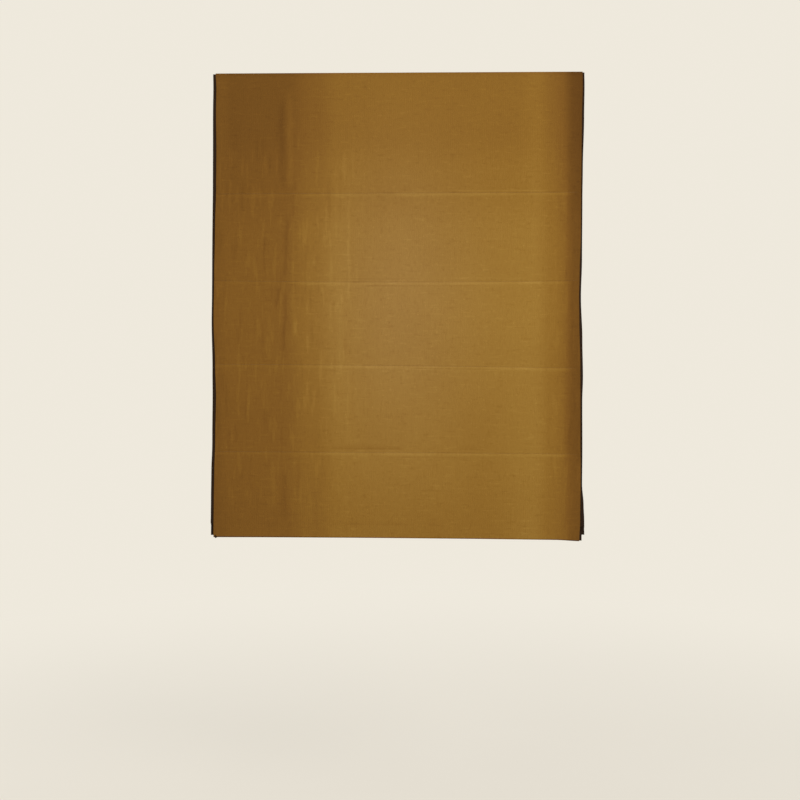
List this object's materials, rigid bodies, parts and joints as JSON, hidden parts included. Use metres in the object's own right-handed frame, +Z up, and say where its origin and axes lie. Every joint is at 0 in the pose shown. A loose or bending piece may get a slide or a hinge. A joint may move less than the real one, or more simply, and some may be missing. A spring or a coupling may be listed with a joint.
{
  "type": "roman blind",
  "caption": "Lined flat-fold roman blind on a face-fixed headrail, lifted by hand at its bottom bar and balanced by a spring motor, shown fully lowered.",
  "frame": {"origin": "centre of the middle bracket's back face, at mid width, on the wall plane", "axes": "+Z up along the drop, -Y out of the wall towards the room, +X to the viewer's right"},
  "size_m": [1.009, 0.063, 1.263],
  "materials": {
    "velvet": "cotton velvet, short pile",
    "lining": "close-woven blackout lining",
    "tape": "hook and loop tape",
    "cord": "braided polyester",
    "rail": "satin powder coat",
    "bar": "mill finish",
    "zinc_steel": "zinc plated",
    "spring_steel": "cold rolled, oiled",
    "rail_plastic": "moulded, fine texture",
    "grey_plastic": "moulded",
    "rod": "drawn glass fibre"
  },
  "bodies": {
    "headrail": {"headrail": "rail", "end_cap_left": "rail_plastic", "end_cap_right": "rail_plastic", "bracket_left": "zinc_steel", "bracket_middle": "zinc_steel", "bracket_right": "zinc_steel", "bracket_clip_left": "spring_steel", "bracket_clip_middle": "spring_steel", "bracket_clip_right": "spring_steel", "clip_rivets": "zinc_steel", "hook_tape": "tape", "loop_tape": "tape", "front_cloth": "velvet", "lining": "lining", "lift_cord_1": "cord", "lift_cord_2": "cord", "lift_cord_3": "cord", "lift_cord_4": "cord", "spool_cradle_1": "rail_plastic", "spool_cradle_2": "rail_plastic", "spool_cradle_3": "rail_plastic", "spool_cradle_4": "rail_plastic", "motor_case": "grey_plastic", "motor_lid": "grey_plastic", "motor_screws": "zinc_steel", "power_spring": "spring_steel", "drag_case": "grey_plastic", "drag_lid": "grey_plastic", "drag_screws": "zinc_steel", "drag_spring": "spring_steel"},
    "lift_shaft": {"lift_shaft": "zinc_steel", "spool_1": "grey_plastic", "spool_2": "grey_plastic", "spool_3": "grey_plastic", "spool_4": "grey_plastic", "cord_windings": "cord", "shaft_retainers": "spring_steel", "output_drum": "grey_plastic", "drag_hub": "zinc_steel"},
    "storage_drum": {"storage_drum": "grey_plastic"},
    "batten_1": {"batten_1_rod": "rod", "batten_1_pocket": "lining", "batten_1_plugs": "rail_plastic", "batten_1_guides": "rail_plastic"},
    "batten_2": {"batten_2_rod": "rod", "batten_2_pocket": "lining", "batten_2_plugs": "rail_plastic", "batten_2_guides": "rail_plastic"},
    "batten_3": {"batten_3_rod": "rod", "batten_3_pocket": "lining", "batten_3_plugs": "rail_plastic", "batten_3_guides": "rail_plastic"},
    "batten_4": {"batten_4_rod": "rod", "batten_4_pocket": "lining", "batten_4_plugs": "rail_plastic", "batten_4_guides": "rail_plastic"},
    "bottom_bar": {"bottom_bar": "bar", "bar_end_caps": "rail_plastic", "cord_anchors": "rail_plastic"}
  },
  "joints": [
    {"name": "bottom_bar_lift", "type": "slide", "parent": "headrail", "child": "bottom_bar", "axis": [0, 0, 1], "range_m": [0, 0.9938], "deforming": ["front_cloth", "lining", "lift_cord_1", "lift_cord_2", "lift_cord_3", "lift_cord_4"]},
    {"name": "batten_1_lift", "type": "slide", "parent": "headrail", "child": "batten_1", "axis": [0, 0, 1], "range_m": [0, 0.2665]},
    {"name": "batten_2_lift", "type": "slide", "parent": "headrail", "child": "batten_2", "axis": [0, 0, 1], "range_m": [0, 0.4557]},
    {"name": "batten_3_lift", "type": "slide", "parent": "headrail", "child": "batten_3", "axis": [0, 0, 1], "range_m": [0, 0.6448]},
    {"name": "batten_4_lift", "type": "slide", "parent": "headrail", "child": "batten_4", "axis": [0, 0, 1], "range_m": [0, 0.834]},
    {"name": "lift_shaft_turn", "type": "hinge", "parent": "headrail", "child": "lift_shaft", "pos_m": [0, -0.0395, 0], "axis": [1, 0, 0], "range_deg": [-6327, 0]},
    {"name": "storage_drum_turn", "type": "hinge", "parent": "headrail", "child": "storage_drum", "pos_m": [0.2729, -0.0175, 0], "axis": [1, 0, 0], "range_deg": [0, 7023]}
  ],
  "couplings": [
    {"joint": "batten_1_lift", "follows": "bottom_bar_lift", "ratio": 0.26816},
    {"joint": "batten_2_lift", "follows": "bottom_bar_lift", "ratio": 0.45847},
    {"joint": "batten_3_lift", "follows": "bottom_bar_lift", "ratio": 0.64879},
    {"joint": "batten_4_lift", "follows": "bottom_bar_lift", "ratio": 0.83911},
    {"joint": "lift_shaft_turn", "follows": "bottom_bar_lift", "rad_per_m": -111.11},
    {"joint": "storage_drum_turn", "follows": "bottom_bar_lift", "rad_per_m": 123.33}
  ]
}
